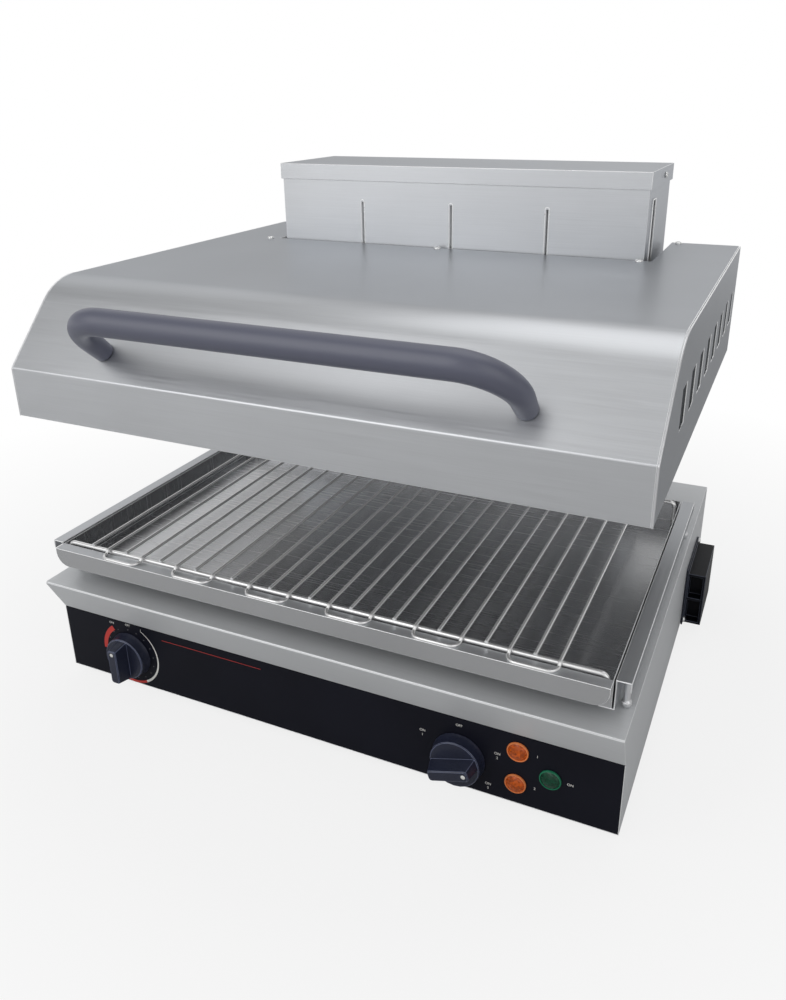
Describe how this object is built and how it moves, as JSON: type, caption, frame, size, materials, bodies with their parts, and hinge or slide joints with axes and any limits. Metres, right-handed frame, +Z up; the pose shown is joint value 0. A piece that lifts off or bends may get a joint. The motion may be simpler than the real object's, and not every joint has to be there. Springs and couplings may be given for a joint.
{
  "type": "salamander grill",
  "caption": "Countertop salamander grill: heated hood that rises and falls on a rear mast over a wire grid and drip tray, with a timer and a zone selector.",
  "frame": {"origin": "middle of the footprint on the counter, under the whole appliance from the handle's front to the cable gland's back", "axes": "+X to the right seen from the front, +Y from the control panel to the mast, +Z up"},
  "size_m": [0.643, 0.5629, 0.5187],
  "materials": {
    "brushed_stainless": "satin",
    "bright_stainless": "bright",
    "panel_film": "satin",
    "black_plastic": "satin",
    "slate_handle": "satin",
    "amber_lens": "gloss",
    "green_lens": "gloss",
    "black_rubber": "matte",
    "polished_chrome": "polished",
    "zinc_screws": "plated",
    "grey_painted_steel": "satin",
    "sintered_bronze": "matte",
    "ceramic_blanket": "matte",
    "heater_sheath": "oxidised"
  },
  "bodies": {
    "base": {"base_housing": "brushed_stainless", "base_floor": "brushed_stainless", "control_overlay": "panel_film", "foot_front_left": "black_rubber", "foot_front_right": "black_rubber", "foot_back_left": "black_rubber", "foot_back_right": "black_rubber", "timer_case": "black_plastic", "selector_case": "black_plastic", "amber_lamp_upper": "amber_lens", "amber_lamp_lower": "amber_lens", "green_lamp": "green_lens", "terminal_block": "black_plastic", "cable_gland": "black_plastic", "gland_nut": "black_plastic", "side_grip_left": "black_plastic", "side_grip_right": "black_plastic", "side_rail_left": "brushed_stainless", "side_rail_right": "brushed_stainless", "rail_post_front_left": "polished_chrome", "rail_post_front_right": "polished_chrome", "rail_post_back_left": "polished_chrome", "rail_post_back_right": "polished_chrome", "mast_cover": "brushed_stainless", "mast_back": "brushed_stainless", "mast_cap": "brushed_stainless", "cap_screw_left": "zinc_screws", "cap_screw_right": "zinc_screws", "lower_crosshead": "grey_painted_steel", "upper_crosshead": "grey_painted_steel", "guide_rod_left": "polished_chrome", "guide_rod_right": "polished_chrome", "strut_body_left": "grey_painted_steel", "strut_body_right": "grey_painted_steel"},
    "hood": {"hood_shell": "brushed_stainless", "hood_side_left": "brushed_stainless", "hood_side_right": "brushed_stainless", "hood_back_frame": "brushed_stainless", "hood_screw_front_left": "zinc_screws", "hood_screw_front_middle": "zinc_screws", "hood_screw_front_right": "zinc_screws", "hood_screw_back_left": "zinc_screws", "hood_screw_back_right": "zinc_screws", "heating_pan": "bright_stainless", "insulation_slab": "ceramic_blanket", "element_left": "heater_sheath", "element_right": "heater_sheath", "element_rack": "bright_stainless", "handle": "slate_handle", "lift_carriage": "grey_painted_steel", "bushing_left": "sintered_bronze", "bushing_right": "sintered_bronze", "strut_rod_left": "polished_chrome", "strut_rod_right": "polished_chrome"},
    "timer": {"timer_knob": "black_plastic", "timer_spindle": "polished_chrome"},
    "selector": {"selector_knob": "black_plastic", "selector_spindle": "polished_chrome"},
    "tray": {"drip_tray": "brushed_stainless"},
    "grid": {"cooking_grid": "polished_chrome"}
  },
  "joints": [
    {"name": "hood_lift", "type": "slide", "parent": "base", "child": "hood", "axis": [0, 0, 1], "range_m": [-0.085, 0.087]},
    {"name": "timer_turn", "type": "hinge", "parent": "base", "child": "timer", "pos_m": [-0.216, -0.23347, 0.0485], "axis": [0, 1, 0], "range_deg": [-27, 310]},
    {"name": "selector_turn", "type": "hinge", "parent": "base", "child": "selector", "pos_m": [0.155, -0.23347, 0.044], "axis": [0, 1, 0], "range_deg": [-138, 56]},
    {"name": "tray_slide", "type": "slide", "parent": "base", "child": "tray", "axis": [0, -1, 0], "range_m": [0, 0.2]},
    {"name": "grid_lift", "type": "slide", "parent": "tray", "child": "grid", "axis": [0, 0, 1], "range_m": [0, 0.035]}
  ]
}
